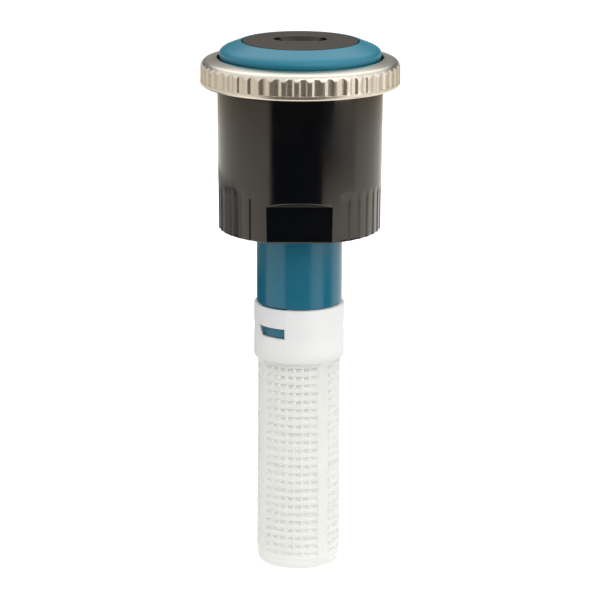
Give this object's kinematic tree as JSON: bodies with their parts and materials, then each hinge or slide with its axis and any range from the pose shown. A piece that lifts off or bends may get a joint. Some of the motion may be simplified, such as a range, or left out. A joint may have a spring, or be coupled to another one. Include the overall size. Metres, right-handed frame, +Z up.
{
  "type": "pop-up rotary sprinkler nozzle",
  "caption": "Rotary nozzle for a pop-up sprinkler: teal lifting deflector, knurled steel arc ring, black fluted housing, teal stem and white slotted inlet filter.",
  "frame": {"origin": "on the nozzle's axis, in the plane of the housing's lower rim, at the mouth of the riser thread", "axes": "+Z up along the axis, towards the deflector's cap; front, with the filter's visible window, towards -Y"},
  "size_m": [0.0286, 0.0286, 0.0779],
  "materials": {
    "black_plastic": "moulded, polished",
    "teal_plastic": "moulded, satin gloss",
    "cap_plastic": "moulded, fine texture",
    "white_nylon": "moulded, slightly see-through",
    "natural_acetal": "moulded",
    "black_rubber": "moulded",
    "satin_stainless": "satin",
    "drawn_stainless": "drawn, bright"
  },
  "bodies": {
    "base": {"housing": "black_plastic", "stem": "teal_plastic", "stem_o_ring": "black_rubber", "riser_washer": "black_rubber", "nozzle_hub": "natural_acetal", "flow_restrictor": "natural_acetal", "spring_washer": "drawn_stainless", "return_spring": "drawn_stainless"},
    "arc_ring": {"arc_ring": "satin_stainless", "arc_collar": "black_plastic", "arc_collar_o_ring": "black_rubber"},
    "carriage": {"spring_retainer": "natural_acetal"},
    "shaft": {"shaft": "drawn_stainless", "retainer_clip": "drawn_stainless", "throttle_clip": "drawn_stainless", "brake_stator": "black_plastic"},
    "throttle": {"throttle_nut": "natural_acetal"},
    "deflector": {"deflector": "teal_plastic", "top_cap": "cap_plastic", "cap_o_ring": "black_rubber", "lower_bearing": "natural_acetal", "upper_bearing": "natural_acetal", "shaft_lip_seal": "black_rubber"},
    "filter": {"inlet_filter": "white_nylon"}
  },
  "joints": [
    {"name": "head_lift", "type": "slide", "parent": "base", "child": "carriage", "axis": [0, 0, 1], "range_m": [0, 0.005], "stiffness_N_per_m": 200, "springref_m": -0.006, "deforming": ["return_spring"]},
    {"name": "radius_turn", "type": "hinge", "parent": "carriage", "child": "shaft", "pos_m": [0, 0, 0], "axis": [0, 0, 1], "range_deg": [-495, 0]},
    {"name": "throttle_slide", "type": "slide", "parent": "carriage", "child": "throttle", "axis": [0, 0, 1], "range_m": [0, 0.0011]},
    {"name": "deflector_spin", "type": "hinge", "parent": "shaft", "child": "deflector", "pos_m": [0, 0, 0], "axis": [0, 0, 1], "continuous": true},
    {"name": "arc_turn", "type": "hinge", "parent": "base", "child": "arc_ring", "pos_m": [0, 0, 0], "axis": [0, 0, 1], "range_deg": [-120, 0]},
    {"name": "filter_pull", "type": "slide", "parent": "base", "child": "filter", "axis": [0, 0, -1], "range_m": [0, 0.015]}
  ],
  "couplings": [
    {"joint": "radius_turn", "follows": "throttle_slide", "rad_per_m": -7853.9}
  ]
}
